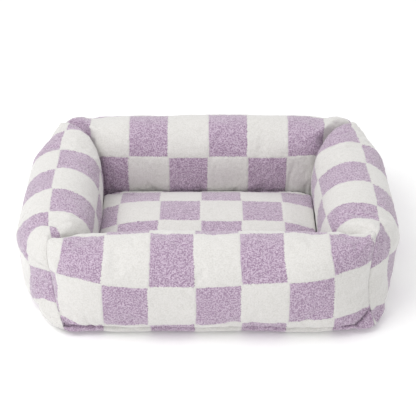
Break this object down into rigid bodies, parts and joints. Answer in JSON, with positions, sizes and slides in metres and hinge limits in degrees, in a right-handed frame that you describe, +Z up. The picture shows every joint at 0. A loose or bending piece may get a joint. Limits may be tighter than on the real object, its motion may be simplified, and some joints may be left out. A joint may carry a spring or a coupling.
{
  "type": "pet cushion bed",
  "caption": "Low rectangular pet bed with four rounded stuffed walls and a crowned loose cushion, all in two-colour checked plush.",
  "frame": {"origin": "on the floor, under the middle of the bed", "axes": "+X along the longer side, +Y from the front wall to the back wall, +Z up"},
  "size_m": [0.7, 0.59, 0.17],
  "materials": {
    "check_plush": "short curly pile in off-white and lilac checks",
    "fibre_filling": "loose white polyester fibre",
    "nonslip_cloth": "close weave with printed non-slip dots",
    "wadding": "thin needled sheet",
    "lining_cloth": "plain matt weave",
    "zip_tape": "woven tape",
    "zip_coil": "nylon coil",
    "zip_metal": "nickel plated",
    "label_cloth": "smooth blank satin"
  },
  "bodies": {
    "bed": {"front_wall_cover": "check_plush", "back_wall_cover": "check_plush", "left_wall_cover": "check_plush", "right_wall_cover": "check_plush", "front_wall_filling": "fibre_filling", "back_wall_filling": "fibre_filling", "left_wall_filling": "fibre_filling", "right_wall_filling": "fibre_filling", "base_bottom_panel": "nonslip_cloth", "base_wadding": "wadding", "base_top_panel": "lining_cloth"},
    "cushion": {"cushion_top_cover": "check_plush", "cushion_bottom_cover": "lining_cloth", "cushion_filling": "fibre_filling", "zip_tape_upper": "zip_tape", "zip_tape_lower": "zip_tape", "zip_coil_upper": "zip_coil", "zip_coil_lower": "zip_coil", "zip_end_stops": "zip_metal", "care_label": "label_cloth"},
    "zip_slider": {"zip_slider": "zip_metal"},
    "zip_pull": {"zip_pull": "zip_metal"}
  },
  "joints": [
    {"name": "cushion_lift", "type": "slide", "parent": "bed", "child": "cushion", "axis": [0, 0, 1], "range_m": [0, 0.25]},
    {"name": "zip_run", "type": "slide", "parent": "cushion", "child": "zip_slider", "axis": [1, 0, 0], "range_m": [0, 0.25]},
    {"name": "pull_swing", "type": "hinge", "parent": "zip_slider", "child": "zip_pull", "pos_m": [-0.125, 0.14805, 0.0272], "axis": [0, 0, 1], "range_deg": [0, 20]}
  ]
}
